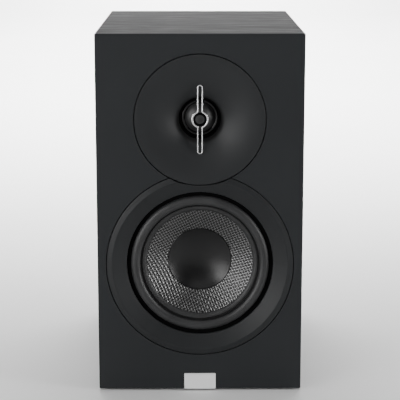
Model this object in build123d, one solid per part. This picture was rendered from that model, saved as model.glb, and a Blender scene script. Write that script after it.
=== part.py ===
from build123d import *
import math
import os

os.makedirs("parts", exist_ok=True)

# Sizes are in millimetres. A depth counts backwards from the front face of the baffle, and a height upwards.

# How far a cutting shape runs past the face that it cuts
past = 1.0

# Cabinet sizes
cabinet_width = 180.0
cabinet_height = 317.0
cabinet_depth = 260.0
wall = 12.0
edge_round = 1.0
edge_blend = 0.7
glue_gap = 0.15
baffle_lip = 3.0
baffle_thickness = 21.0
rear_thickness = 12.0
rear_recess = 1.0
brace_thickness = 12.0
brace_border = 20.0
brace_rung = 28.0
brace_corner = 14.0
wadding_thickness = 14.0
wadding_gap = 0.5
foot_height = 2.0
foot_radius = 9.0
foot_inset = 22.0
badge_width = 28.0
badge_height = 14.5
badge_thickness = 1.5
badge_bevel = 0.7
badge_corner = 0.8

# Woofer trim ring
ring_side_margin = 8.1
ring_bottom_margin = 32.4
ring_notch = 10.3
ring_gap = 0.75
ring_groove = 3.5
ring_rebate = 1.2
ring_slope = 4.9
ring_proud = 1.5
ring_bevel = 12.6
ring_lip_front = 4.4
ring_lip_back = 6.4
ring_lip_wall = 1.6
ring_edge_round = 0.3
ring_ridge_round = 1.2
ring_lip_round = 0.6
peg_angles = (35.0, 145.0, 215.0, 325.0)
peg_inset = 3.7
peg_radius = 2.0
peg_length = 6.8
peg_gap = 0.05

# Woofer frame and fixings
ring_land = 8.4
basket_gap = 0.5
basket_flange = 3.0
gasket_thickness = 1.0
woofer_seat = 12.0
gasket_width = 7.5
basket_flange_width = 13.0
basket_mouth_wall = 3.5
basket_wall = 2.5
basket_waist = 42.0
spider_seat = 41.0
spider_shelf = 2.5
spider_shelf_inner = 35.0
basket_back = 50.0
basket_floor = 3.5
basket_floor_inner = 28.0
basket_windows = 6
basket_window_angle = 44.0
basket_window_start = 16.0
basket_window_end = 37.0
woofer_screws = 6
woofer_screw_inset = 3.7
woofer_screw_radius = 2.0
woofer_screw_head = 3.4
woofer_screw_sink = 2.0
woofer_screw_length = 12.0
hole_gap = 0.3
thread_gap = 0.05

# Woofer motor
top_plate_radius = 40.0
top_plate_thickness = 6.0
magnet_radius = 45.0
magnet_bore = 19.0
magnet_thickness = 16.0
yoke_radius = 40.0
yoke_thickness = 6.0
motor_chamfer = 1.0
pole_radius = 12.2
pole_vent = 4.0
rivets = 4
rivet_circle = 36.0
rivet_radius = 2.0
rivet_head = 3.2
rivet_head_height = 1.2
rivet_length = 7.0
woofer_strip_width = 34.0
woofer_strip_start = 41.0
woofer_strip_end = 49.0
woofer_strip_drop = 10.0
woofer_strip_wrap = 2.5
woofer_tab_rise = 3.0
woofer_tab_spacing = 24.0
tab_width = 4.75
tab_thickness = 0.8
tab_length = 8.0

# Woofer moving parts
coil_gap = 0.4
former_inner = 12.6
former_outer = 13.0
former_rise = 1.0
former_back = 61.0
coil_outer = 13.9
coil_start = 46.0
coil_end = 60.0
cone_edge_gap = 0.7
cone_front = 8.4
cone_angle = 28.0
cone_thickness = 1.0
dust_cap_radius = 28.0
dust_cap_sag = 8.0
dust_cap_thickness = 0.8
dust_cap_lift = 0.25
surround_thickness = 0.8
surround_rim_inset = 8.0
surround_seat = 0.1
surround_width = 7.9
surround_roll = 4.2
surround_leg = 2.2
surround_flap_width = 5.4
spider_rim = 41.5
spider_wave = 1.4
spider_thickness = 0.8
spider_waves = 4
spider_collar = 18.0

# Tweeter
tweeter_top_margin = 17.5
flange_radius = 56.8
flange_gap = 0.75
flange_bevel = 0.4
flange_thickness = 5.0
tweeter_opening = 47.0
throat_radius = 18.5
throat_depth = 12.0
boss_radius = 39.0
boss_start = 12.0
boss_back = 17.9
dome_radius = 13.0
dome_height = 6.4
dome_thickness = 0.5
dome_edge = 18.0
tweeter_surround_outer = 16.6
tweeter_surround_rim = 20.0
tweeter_surround_roll = 1.5
tweeter_surround_thickness = 0.5
spacer_bore = 17.2
spacer_thickness = 2.5
tweeter_plate_radius = 37.0
tweeter_plate_thickness = 4.0
tweeter_magnet_radius = 30.0
tweeter_magnet_bore = 17.0
tweeter_magnet_thickness = 10.0
tweeter_yoke_radius = 28.0
tweeter_yoke_thickness = 5.0
tweeter_pole = 12.3
tweeter_vent = 3.0
tweeter_coil_inner = 12.65
tweeter_coil_outer = 13.4
tweeter_coil_end = 24.0
chamber_radius = 22.0
chamber_length = 12.0
chamber_wall = 2.0
tweeter_screw_angles = (45.0, 135.0, 225.0, 315.0)
tweeter_screw_circle = 51.6
tweeter_screw_radius = 1.75
tweeter_screw_head = 3.4
tweeter_screw_head_height = 2.2
tweeter_screw_bite = 3.0
motor_screw_angles = (90.0, 210.0, 330.0)
motor_screw_circle = 33.6
motor_screw_radius = 1.5
motor_screw_head = 2.8
motor_screw_head_height = 2.0
motor_screw_bite = 6.0
tweeter_strip_width = 18.0
tweeter_strip_height = 5.0
tweeter_strip_thickness = 3.0
tweeter_strip_drop = 34.3
tweeter_tab_spacing = 10.0

# Open loop in front of the dome
loop_length = 60.4
loop_width = 4.9
loop_line = 0.95
loop_ring_radius = 7.4
loop_ring_line = 1.45
loop_front = 3.6
loop_thickness = 1.5
loop_peg_radius = 0.45
loop_peg_length = 3.5

# Port
port_top_margin = 43.0
port_radius = 22.0
port_wall = 2.5
port_length = 117.0
port_flange_radius = 38.0
port_flange_thickness = 2.5
port_flange_bevel = 1.2
port_hub_bevel = 3.0
port_tube_stop = 3.0
port_flare = 11.5
port_neck_wall = 2.4
port_neck_length = 15.0
port_socket_gap = 0.05
port_hole = 29.0
port_hole_gap = 0.3

# Terminals
terminal_height = 70.0
plate_width = 84.0
plate_height = 56.0
plate_thickness = 3.0
plate_corner = 6.0
plate_edge = 0.8
plate_gasket = 1.0
cutout_width = 58.0
cutout_height = 30.0
cutout_corner = 4.0
plate_screw_spacing_x = 70.0
plate_screw_spacing_z = 42.0
plate_screw_radius = 1.75
plate_screw_head = 3.4
plate_screw_head_height = 2.0
plate_screw_length = 14.0
post_spacing = 19.0
stud_radius = 3.0
stud_tail = 14.0
banana_radius = 2.05
banana_depth = 13.0
wire_hole = 1.5
wire_hole_offset = 1.7
bush_radius = 7.0
bush_height = 3.0
bush_bevel = 0.6
bush_shank = 4.4
bush_hole_gap = 0.1
bush_bore_gap = 0.05
nut_flats = 10.0
nut_thickness = 4.0
washer_radius = 6.5
washer_thickness = 1.6
washer_rest_gap = 0.2
cap_rest_gap = 0.1
cap_radius = 8.0
cap_length = 16.0
cap_bore_gap = 0.3
cap_bevel = 1.0
cap_flutes = 18
cap_flute_radius = 0.7
cap_flute_start = 3.0
stud_recess = 1.0

# Crossover
board_width = 90.0
board_length = 100.0
board_rear_gap = 9.0
board_thickness = 1.6
standoff_height = 6.0
standoff_radius = 3.5
standoff_inset = 6.0
board_screw_radius = 1.5
board_screw_head = 2.8
board_screw_head_height = 1.8
board_screw_length = 6.0
coil_sizes = ((-24.0, 32.0, 15.0, 7.0, 13.0), (25.0, 30.0, 12.0, 5.0, 16.0))
capacitor_sizes = ((-24.0, 65.0, 8.0, 34.0), (25.0, 56.0, 6.0, 28.0), (25.0, 72.0, 6.0, 28.0))
capacitor_bevel = 0.8
resistor_places = ((-24.5, 86.0), (24.5, 86.0))
resistor_length = 22.0
resistor_side = 9.0

# Leads
lead_radius = 1.2
lead_bend = 15.0
lead_board_inset = 12.0
input_board_inset = 10.0
tweeter_lead_rise = 26.4

# Places worked out from the sizes
cabinet_bottom = foot_height
cabinet_top = cabinet_bottom + cabinet_height
cabinet_middle = (cabinet_bottom + cabinet_top) / 2
inner_width = cabinet_width - 2 * wall
inner_height = cabinet_height - 2 * wall
inner_floor = cabinet_bottom + wall
tweeter_z = cabinet_top - tweeter_top_margin - flange_radius
side_room = cabinet_width / 2 - ring_side_margin
flange_bottom = tweeter_z - flange_radius
height_room = (flange_bottom + ring_notch - cabinet_bottom - ring_bottom_margin) / 2
ring_radius = min(side_room, height_room)
ring_ridge_radius = ring_radius - ring_slope
ring_lip_radius = ring_ridge_radius - ring_bevel
peg_circle = ring_radius - peg_inset
woofer_z = flange_bottom + ring_notch - ring_radius
basket_radius = ring_radius - ring_land
basket_mouth = basket_radius - basket_flange_width
woofer_opening = basket_radius - gasket_width
woofer_screw_circle = basket_radius - woofer_screw_inset
surround_rim = basket_radius - surround_rim_inset
surround_outer = basket_mouth + surround_seat
surround_inner = surround_outer - surround_width
surround_flap = surround_inner - surround_flap_width
cone_radius = surround_inner - cone_edge_gap
port_z = cabinet_top - port_top_margin - port_flange_radius
terminal_z = cabinet_bottom + terminal_height
rear_face = cabinet_depth - rear_recess
rear_inside = rear_face - rear_thickness
plate_inside = rear_face + plate_gasket
plate_outside = plate_inside + plate_thickness
bush_end = plate_outside + bush_height
washer_start = bush_end + washer_rest_gap
washer_end = washer_start + washer_thickness
cap_start = washer_end + cap_rest_gap
cap_end = cap_start + cap_length
stud_end = cap_end - stud_recess
stud_inner_end = plate_inside - stud_tail
front_y = (ring_proud - cap_end) / 2
flange_front = woofer_seat - gasket_thickness - basket_flange
flange_back = woofer_seat - gasket_thickness
motor_start = basket_back
top_plate_end = motor_start + top_plate_thickness
magnet_end = top_plate_end + magnet_thickness
yoke_end = magnet_end + yoke_thickness
spacer_end = boss_back + spacer_thickness
tweeter_plate_end = spacer_end + tweeter_plate_thickness
tweeter_magnet_end = tweeter_plate_end + tweeter_magnet_thickness
tweeter_yoke_end = tweeter_magnet_end + tweeter_yoke_thickness
board_end = rear_inside - board_rear_gap
board_start = board_end - board_length
brace_start = (yoke_end + board_start) / 2
brace_end = brace_start + brace_thickness
board_bottom = inner_floor + standoff_height
board_top = board_bottom + board_thickness


# Shape helpers
def turned(outline, x, z):
    return Pos(x, front_y, z) * revolve(make_face(outline), Axis.Y)


def lathe(points, x, z):
    return turned(Polyline(*points, close=True), x, z)


def tube(inner, outer, start, end, x, z):
    return lathe([(inner, start), (outer, start), (outer, end), (inner, end)], x, z)


def rod(radius, start, end, x, z):
    return Pos(x, front_y + (start + end) / 2, z) * Rot(X=90) * Cylinder(radius, end - start)


def drill(radius, start, end, x, z):
    return rod(radius, start - past, end + past, x, z)


def upright(radius, bottom, top, x, depth):
    return Pos(x, front_y + depth, (bottom + top) / 2) * Cylinder(radius, top - bottom)


def block(width, height, start, end, x, z):
    return Pos(x, front_y + (start + end) / 2, z) * Box(width, end - start, height)


def slab(face, start, end, x, z):
    return Pos(x, 0, z) * extrude(Plane.XZ.offset(-(front_y + end)) * face, end - start)


def around(radius, angles):
    return [(radius * math.cos(math.radians(a)), radius * math.sin(math.radians(a))) for a in angles]


def even_angles(count):
    return [360.0 * i / count for i in range(count)]


def pan_screw(head, head_height, radius, length, seat, way, x, z):
    crown = head_height * 0.6
    points = [
        (0, seat - way * head_height),
        (head * 0.7, seat - way * head_height),
        (head, seat - way * crown),
        (head, seat),
        (radius, seat),
        (radius, seat + way * length),
        (0, seat + way * length),
    ]
    body = lathe(points, x, z)
    slot = head_height * 0.5
    ends = sorted((seat - way * head_height, seat - way * (head_height - slot)))
    for width, height in ((head, head * 0.25), (head * 0.25, head)):
        body -= block(width, height, ends[0], ends[1], x, z)
    return body


def sunk_screw(head, sink, radius, length, seat, x, z):
    points = [(0, seat), (head, seat), (radius, seat + sink), (radius, seat + length), (0, seat + length)]
    return lathe(points, x, z)


def bowl(bend, middle, radius, way):
    half = radius / 2
    half_depth = middle + way * (bend - math.sqrt(bend**2 - half**2))
    edge_depth = middle + way * (bend - math.sqrt(bend**2 - radius**2))
    return ThreePointArc((0, middle), (half, half_depth), (radius, edge_depth))


def between(front, rear):
    return [front, Line(front @ 1, rear @ 1), rear, Line(rear @ 0, front @ 0)]


def lead(points, bend):
    route = FilletPolyline(*[(x, front_y + d, z) for x, d, z in points], radius=bend)
    return sweep(Plane(origin=route @ 0, z_dir=route % 0) * Circle(lead_radius), path=route)


nodes = {}

# Cabinet panels, mitred where they meet
outer_face = RectangleRounded(cabinet_width, cabinet_height, edge_round)
shell = slab(outer_face, baffle_lip, cabinet_depth, 0, cabinet_middle)
rear_edges = shell.faces().sort_by(Axis.Y)[-1].edges()
shell = fillet(rear_edges, edge_blend)
shell -= block(inner_width, inner_height, baffle_lip, cabinet_depth, 0, cabinet_middle)
half_width = cabinet_width / 2
half_height = cabinet_height / 2
half_inner_width = inner_width / 2
half_inner_height = inner_height / 2
corners = [(-1, -1), (1, -1), (1, 1), (-1, 1)]
for name, first, second in (
    ("bottom_panel", corners[0], corners[1]),
    ("right_panel", corners[1], corners[2]),
    ("top_panel", corners[2], corners[3]),
    ("left_panel", corners[3], corners[0]),
):
    wedge = Polyline(
        (first[0] * half_width, first[1] * half_height),
        (second[0] * half_width, second[1] * half_height),
        (second[0] * half_inner_width, second[1] * half_inner_height),
        (first[0] * half_inner_width, first[1] * half_inner_height),
        close=True,
    )
    nodes[name] = shell & slab(make_face(wedge), baffle_lip, cabinet_depth, 0, cabinet_middle)

# Front baffle
baffle = slab(outer_face, 0, baffle_lip, 0, cabinet_middle)
front_edges = baffle.faces().sort_by(Axis.Y)[0].edges()
baffle = fillet(front_edges, edge_blend)
plug_width = inner_width - 2 * glue_gap
plug_height = inner_height - 2 * glue_gap
baffle += block(plug_width, plug_height, baffle_lip, baffle_thickness, 0, cabinet_middle)
baffle -= rod(flange_radius + flange_gap, -past, flange_thickness, 0, tweeter_z)
baffle -= drill(tweeter_opening, 0, baffle_thickness, 0, tweeter_z)
baffle -= rod(ring_radius + ring_gap, -past, ring_rebate, 0, woofer_z)
baffle -= tube(ring_radius, ring_radius + ring_gap, -past, ring_groove, 0, woofer_z)
baffle -= rod(basket_radius + basket_gap, -past, woofer_seat, 0, woofer_z)
baffle -= drill(woofer_opening, 0, baffle_thickness, 0, woofer_z)
for x, z in around(peg_circle, peg_angles):
    baffle -= rod(peg_radius + peg_gap, 0, ring_rebate + peg_length + hole_gap, x, woofer_z + z)
for x, z in around(woofer_screw_circle, even_angles(woofer_screws)):
    baffle -= drill(woofer_screw_radius + thread_gap, woofer_seat, baffle_thickness, x, woofer_z + z)
for x, z in around(tweeter_screw_circle, tweeter_screw_angles):
    baffle -= drill(tweeter_screw_radius + hole_gap, flange_thickness, baffle_thickness, x, tweeter_z + z)
nodes["front_baffle"] = baffle

# Rear panel
rear = block(plug_width, plug_height, rear_inside, rear_face, 0, cabinet_middle)
rear -= drill(port_hole, rear_inside, rear_face, 0, port_z)
cutout = RectangleRounded(cutout_width, cutout_height, cutout_corner)
rear -= slab(cutout, rear_inside - past, rear_face + past, 0, terminal_z)
plate_screw_places = [
    (sx * plate_screw_spacing_x / 2, terminal_z + sz * plate_screw_spacing_z / 2) for sx, sz in corners
]
for x, z in plate_screw_places:
    rear -= drill(plate_screw_radius + thread_gap, rear_inside, rear_face, x, z)
nodes["rear_panel"] = rear

# Window brace between the walls
window_width = inner_width - 2 * brace_border
window_height = (inner_height - 2 * brace_border - brace_rung) / 2
window = RectangleRounded(window_width, window_height, brace_corner)
brace = block(plug_width, plug_height, brace_start, brace_end, 0, cabinet_middle)
for side in (-1, 1):
    z = cabinet_middle + side * (window_height + brace_rung) / 2
    brace -= slab(window, brace_start - past, brace_end + past, 0, z)
nodes["window_brace"] = brace

# Damping wadding on both side walls
wadding = []
for side in (-1, 1):
    x = side * (half_inner_width - wadding_gap - wadding_thickness / 2)
    height = inner_height - 2 * wadding_gap
    start = brace_end + wadding_gap
    wadding.append(block(wadding_thickness, height, start, rear_inside - wadding_gap, x, cabinet_middle))
nodes["damping_wadding"] = Part() + wadding

# Feet
feet = []
for sx in (-1, 1):
    for depth in (foot_inset, cabinet_depth - foot_inset):
        foot = upright(foot_radius, 0, foot_height, sx * (half_width - foot_inset), depth)
        feet.append(chamfer(foot.faces().sort_by(Axis.Z)[0].edges(), foot_height / 4))
nodes["rubber_feet"] = Part() + feet

# Bare name plate on the bottom edge
badge = slab(
    RectangleRounded(badge_width, badge_height, badge_corner),
    -badge_thickness,
    0,
    0,
    cabinet_bottom + badge_height / 2,
)
nodes["badge_plate"] = chamfer(badge.faces().sort_by(Axis.Y)[0].edges(), badge_bevel)

# Woofer trim ring, cut back round the tweeter flange
ring_ledge = basket_radius + basket_gap - hole_gap
ring_outline = FilletPolyline(
    (ring_radius, ring_rebate),
    (ring_radius, 0),
    (ring_ridge_radius, -ring_proud),
    (ring_lip_radius, ring_lip_front),
    (ring_lip_radius, ring_lip_back),
    (ring_lip_radius + ring_lip_wall, ring_lip_back),
    (ring_ledge, ring_rebate),
    radius=[0, ring_edge_round, ring_ridge_round, ring_lip_round, ring_edge_round, ring_edge_round, 0],
    close=True,
)
ring = turned(ring_outline, 0, woofer_z)
for x, z in around(peg_circle, peg_angles):
    ring += rod(peg_radius, ring_rebate, ring_rebate + peg_length, x, woofer_z + z)
ring -= drill(flange_radius + flange_gap, -ring_proud, ring_lip_back, 0, tweeter_z)
nodes["woofer_trim_ring"] = ring

# Woofer basket
waist_outer = basket_waist + basket_wall
mouth_outer = basket_mouth + basket_mouth_wall
basket = lathe(
    [
        (basket_mouth, flange_front),
        (basket_radius, flange_front),
        (basket_radius, flange_back),
        (mouth_outer, flange_back),
        (waist_outer, spider_seat),
        (waist_outer, basket_back),
        (basket_floor_inner, basket_back),
        (basket_floor_inner, basket_back - basket_floor),
        (basket_waist, basket_back - basket_floor),
        (basket_waist, spider_seat + spider_shelf),
        (spider_shelf_inner, spider_seat + spider_shelf),
        (spider_shelf_inner, spider_seat),
        (basket_waist, spider_seat),
        (basket_mouth, flange_back),
    ],
    0,
    woofer_z,
)
for i in range(basket_windows):
    middle = 360.0 * (i + 0.5) / basket_windows + 90
    swing = [middle - basket_window_angle / 2, middle, middle + basket_window_angle / 2]
    sector = make_face(Polyline((0, 0), *around(basket_radius, swing), close=True))
    basket -= slab(sector, basket_window_start, basket_window_end, 0, woofer_z)
for x, z in around(woofer_screw_circle, even_angles(woofer_screws)):
    basket -= drill(woofer_screw_radius + hole_gap, flange_front, flange_back, x, woofer_z + z)
    basket -= lathe(
        [
            (0, flange_front),
            (woofer_screw_head + thread_gap, flange_front),
            (woofer_screw_radius + thread_gap, flange_front + woofer_screw_sink),
            (0, flange_front + woofer_screw_sink),
        ],
        x,
        woofer_z + z,
    )
rivet_angles = [a + 45 for a in even_angles(rivets)]
for x, z in around(rivet_circle, rivet_angles):
    basket -= drill(rivet_radius + thread_gap, basket_back - basket_floor, basket_back, x, woofer_z + z)
nodes["woofer_basket"] = basket

# Woofer gasket and screws
gasket = tube(woofer_opening, basket_radius, flange_back, woofer_seat, 0, woofer_z)
screws = []
for x, z in around(woofer_screw_circle, even_angles(woofer_screws)):
    gasket -= drill(woofer_screw_radius + hole_gap, flange_back, woofer_seat, x, woofer_z + z)
    screws.append(
        sunk_screw(
            woofer_screw_head,
            woofer_screw_sink,
            woofer_screw_radius,
            woofer_screw_length,
            flange_front,
            x,
            woofer_z + z,
        )
    )
nodes["woofer_gasket"] = gasket
nodes["woofer_screws"] = Part() + screws

# Woofer motor
top_plate = tube(coil_outer + coil_gap, top_plate_radius, motor_start, top_plate_end, 0, woofer_z)
rivet_bodies = []
for x, z in around(rivet_circle, rivet_angles):
    seat = basket_back - basket_floor
    rivet_hole_end = seat + rivet_length + hole_gap
    top_plate -= rod(rivet_radius + thread_gap, motor_start - past, rivet_hole_end, x, woofer_z + z)
    rivet_bodies.append(
        lathe(
            [
                (0, seat - rivet_head_height),
                (rivet_head, seat - rivet_head_height),
                (rivet_head, seat),
                (rivet_radius, seat),
                (rivet_radius, seat + rivet_length),
                (0, seat + rivet_length),
            ],
            x,
            woofer_z + z,
        )
    )
nodes["woofer_top_plate"] = top_plate
nodes["woofer_rivets"] = Part() + rivet_bodies
nodes["woofer_magnet"] = lathe(
    [
        (magnet_bore, top_plate_end),
        (magnet_radius - motor_chamfer, top_plate_end),
        (magnet_radius, top_plate_end + motor_chamfer),
        (magnet_radius, magnet_end - motor_chamfer),
        (magnet_radius - motor_chamfer, magnet_end),
        (magnet_bore, magnet_end),
    ],
    0,
    woofer_z,
)
nodes["woofer_yoke"] = lathe(
    [
        (pole_vent, motor_start),
        (pole_radius, motor_start),
        (pole_radius, magnet_end),
        (yoke_radius, magnet_end),
        (yoke_radius, yoke_end - motor_chamfer),
        (yoke_radius - motor_chamfer, yoke_end),
        (pole_vent, yoke_end),
    ],
    0,
    woofer_z,
)

# Woofer terminal strip, hollowed to sit on the basket
strip_top = waist_outer - woofer_strip_wrap
strip_bottom = waist_outer + woofer_strip_drop
strip = block(
    woofer_strip_width,
    strip_bottom - strip_top,
    woofer_strip_start,
    woofer_strip_end,
    0,
    woofer_z - (strip_top + strip_bottom) / 2,
)
strip -= drill(waist_outer + thread_gap, woofer_strip_start, woofer_strip_end, 0, woofer_z)
woofer_tab_z = woofer_z - strip_bottom + woofer_tab_rise
woofer_tab_end = woofer_strip_end + tab_length
for side in (-1, 1):
    x = side * woofer_tab_spacing / 2
    strip += block(tab_width, tab_thickness, woofer_strip_end, woofer_tab_end, x, woofer_tab_z)
nodes["woofer_terminals"] = strip


# Woofer moving parts
def cone_depth(radius):
    return cone_front + (cone_radius - radius) * math.tan(math.radians(cone_angle))


cone_back = cone_thickness / math.cos(math.radians(cone_angle))
nodes["woofer_cone"] = lathe(
    [
        (cone_radius, cone_front),
        (former_outer, cone_depth(former_outer)),
        (former_outer, cone_depth(former_outer) + cone_back),
        (cone_radius, cone_front + cone_back),
    ],
    0,
    woofer_z,
)
cap_rim = cone_depth(dust_cap_radius) - dust_cap_thickness - dust_cap_lift
cap_middle = cap_rim + dust_cap_sag
cap_bend = (dust_cap_radius**2 + dust_cap_sag**2) / (2 * dust_cap_sag)
cap_front = bowl(cap_bend, cap_middle, dust_cap_radius, -1)
cap_rear = bowl(cap_bend, cap_middle + dust_cap_thickness, dust_cap_radius, -1)
nodes["woofer_dust_cap"] = turned(between(cap_front, cap_rear), 0, woofer_z)
former_front = cone_depth(former_outer) - former_rise
nodes["woofer_former"] = tube(former_inner, former_outer, former_front, former_back, 0, woofer_z)
nodes["woofer_voice_coil"] = tube(former_outer, coil_outer, coil_start, coil_end, 0, woofer_z)

# Woofer surround, a half roll between the basket and the cone
rim_front = flange_front - surround_thickness
roll_middle = (surround_outer + surround_inner) / 2
flap_front = cone_depth(surround_flap) - surround_thickness
foot_front = cone_depth(surround_inner) - surround_thickness
roll_top = ThreePointArc(
    (surround_outer, rim_front - surround_leg),
    (roll_middle, rim_front - surround_roll),
    (surround_inner, rim_front - surround_leg),
)
roll_under = ThreePointArc(
    (surround_inner + surround_thickness, flange_front - surround_leg),
    (roll_middle, flange_front - surround_roll),
    (surround_outer - surround_thickness, flange_front - surround_leg),
)
surround_outline = [
    Polyline((surround_rim, rim_front), (surround_outer, rim_front), roll_top @ 0),
    roll_top,
    Polyline(
        roll_top @ 1,
        (surround_inner, foot_front),
        (surround_flap, flap_front),
        (surround_flap, cone_depth(surround_flap)),
        (cone_radius, cone_front),
        (surround_inner + surround_thickness, cone_front),
        roll_under @ 0,
    ),
    roll_under,
    Polyline(
        roll_under @ 1,
        (surround_outer - surround_thickness, flange_front),
        (surround_rim, flange_front),
        (surround_rim, rim_front),
    ),
]
nodes["woofer_surround"] = turned(surround_outline, 0, woofer_z)

# Woofer spider, a waved disc between the basket shelf and the coil former
wave_steps = 2 * spider_waves
wave_width = (spider_shelf_inner - spider_collar) / wave_steps
wave_front = [(former_outer, spider_seat - spider_thickness)]
for i in range(wave_steps + 1):
    rise = spider_wave if i % 2 else 0
    wave_front.append((spider_collar + i * wave_width, spider_seat - spider_thickness - rise))
wave_front.append((spider_rim, spider_seat - spider_thickness))
wave_rear = [(r, d + spider_thickness) for r, d in reversed(wave_front)]
nodes["woofer_spider"] = lathe(wave_front + wave_rear, 0, woofer_z)

# Tweeter waveguide
flare = TangentArc((flange_radius - flange_bevel, 0), (throat_radius, throat_depth), tangent=(-1, 0))
guide_outline = [
    flare,
    Polyline(
        flare @ 1,
        (throat_radius, boss_back),
        (boss_radius, boss_back),
        (boss_radius, boss_start),
        (tweeter_opening - hole_gap, flange_thickness),
        (flange_radius, flange_thickness),
        (flange_radius, flange_bevel),
        flare @ 0,
    ),
]
guide = turned(guide_outline, 0, tweeter_z)
loop_peg_height = loop_length / 2 - loop_line / 2
loop_back = loop_front + loop_thickness
for side in (-1, 1):
    z = tweeter_z + side * loop_peg_height
    guide -= rod(loop_peg_radius + peg_gap, loop_front, loop_back + loop_peg_length + hole_gap, 0, z)
for x, z in around(tweeter_screw_circle, tweeter_screw_angles):
    bottom = flange_thickness - tweeter_screw_bite - hole_gap
    guide -= rod(tweeter_screw_radius + thread_gap, bottom, flange_thickness + past, x, tweeter_z + z)
for x, z in around(motor_screw_circle, motor_screw_angles):
    bottom = boss_back - motor_screw_bite - hole_gap
    guide -= rod(motor_screw_radius + thread_gap, bottom, boss_back + past, x, tweeter_z + z)
nodes["tweeter_waveguide"] = guide

# Open loop in front of the dome
loop_inner = loop_width - 2 * loop_line
loop_face = Rot(Z=90) * SlotOverall(loop_length, loop_width) + Circle(loop_ring_radius)
loop_face -= Rot(Z=90) * SlotOverall(loop_length - 2 * loop_line, loop_inner)
loop_face -= Circle(loop_ring_radius - loop_ring_line)
loop = slab(loop_face, loop_front, loop_back, 0, tweeter_z)
for side in (-1, 1):
    z = tweeter_z + side * loop_peg_height
    loop += rod(loop_peg_radius, loop_back, loop_back + loop_peg_length, 0, z)
nodes["tweeter_phase_loop"] = loop

# Tweeter dome, surround and voice coil
dome_top = dome_edge - dome_height
dome_bend = (dome_radius**2 + dome_height**2) / (2 * dome_height)
dome_inner_bend = dome_bend - dome_thickness
dome_inner_radius = math.sqrt(dome_inner_bend**2 - (dome_bend - dome_height) ** 2)
dome_front = bowl(dome_bend, dome_top, dome_radius, 1)
dome_rear = bowl(dome_inner_bend, dome_top + dome_thickness, dome_inner_radius, 1)
nodes["tweeter_dome"] = turned(between(dome_front, dome_rear), 0, tweeter_z)
nodes["tweeter_voice_coil"] = tube(
    tweeter_coil_inner, tweeter_coil_outer, dome_edge, tweeter_coil_end, 0, tweeter_z
)
tweeter_roll_middle = (dome_radius + tweeter_surround_outer) / 2
tweeter_rim_back = boss_back + tweeter_surround_thickness
tweeter_roll_top = ThreePointArc(
    (tweeter_surround_outer, boss_back),
    (tweeter_roll_middle, boss_back - tweeter_surround_roll),
    (dome_radius, dome_edge - tweeter_surround_thickness),
)
tweeter_roll_under = ThreePointArc(
    (dome_radius, dome_edge),
    (tweeter_roll_middle, tweeter_rim_back - tweeter_surround_roll),
    (tweeter_surround_outer - tweeter_surround_thickness, tweeter_rim_back),
)
tweeter_surround_outline = [
    Line((tweeter_surround_rim, boss_back), tweeter_roll_top @ 0),
    tweeter_roll_top,
    Line(tweeter_roll_top @ 1, tweeter_roll_under @ 0),
    tweeter_roll_under,
    Polyline(
        tweeter_roll_under @ 1, (tweeter_surround_rim, tweeter_rim_back), (tweeter_surround_rim, boss_back)
    ),
]
nodes["tweeter_surround"] = turned(tweeter_surround_outline, 0, tweeter_z)

# Tweeter motor
spacer = lathe(
    [
        (spacer_bore, tweeter_rim_back),
        (tweeter_surround_rim + thread_gap, tweeter_rim_back),
        (tweeter_surround_rim + thread_gap, boss_back),
        (tweeter_plate_radius, boss_back),
        (tweeter_plate_radius, spacer_end),
        (spacer_bore, spacer_end),
    ],
    0,
    tweeter_z,
)
tweeter_plate = tube(
    tweeter_coil_outer + coil_gap, tweeter_plate_radius, spacer_end, tweeter_plate_end, 0, tweeter_z
)
motor_screws = []
for x, z in around(motor_screw_circle, motor_screw_angles):
    hole = drill(motor_screw_radius + hole_gap, boss_back, tweeter_plate_end, x, tweeter_z + z)
    spacer -= hole
    tweeter_plate -= hole
    motor_screws.append(
        pan_screw(
            motor_screw_head,
            motor_screw_head_height,
            motor_screw_radius,
            tweeter_plate_end - boss_back + motor_screw_bite,
            tweeter_plate_end,
            -1,
            x,
            tweeter_z + z,
        )
    )
nodes["tweeter_spacer"] = spacer
nodes["tweeter_front_plate"] = tweeter_plate
nodes["tweeter_motor_screws"] = Part() + motor_screws
nodes["tweeter_magnet"] = tube(
    tweeter_magnet_bore, tweeter_magnet_radius, tweeter_plate_end, tweeter_magnet_end, 0, tweeter_z
)
nodes["tweeter_yoke"] = lathe(
    [
        (tweeter_vent, spacer_end),
        (tweeter_pole, spacer_end),
        (tweeter_pole, tweeter_magnet_end),
        (tweeter_yoke_radius, tweeter_magnet_end),
        (tweeter_yoke_radius, tweeter_yoke_end),
        (tweeter_vent, tweeter_yoke_end),
    ],
    0,
    tweeter_z,
)
chamber_end = tweeter_yoke_end + chamber_length
nodes["tweeter_rear_chamber"] = lathe(
    [
        (0, chamber_end - chamber_wall),
        (chamber_radius - chamber_wall, chamber_end - chamber_wall),
        (chamber_radius - chamber_wall, tweeter_yoke_end),
        (chamber_radius, tweeter_yoke_end),
        (chamber_radius, chamber_end),
        (0, chamber_end),
    ],
    0,
    tweeter_z,
)
tweeter_screw_bodies = []
for x, z in around(tweeter_screw_circle, tweeter_screw_angles):
    tweeter_screw_bodies.append(
        pan_screw(
            tweeter_screw_head,
            tweeter_screw_head_height,
            tweeter_screw_radius,
            baffle_thickness - flange_thickness + tweeter_screw_bite,
            baffle_thickness,
            -1,
            x,
            tweeter_z + z,
        )
    )
nodes["tweeter_screws"] = Part() + tweeter_screw_bodies

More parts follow.
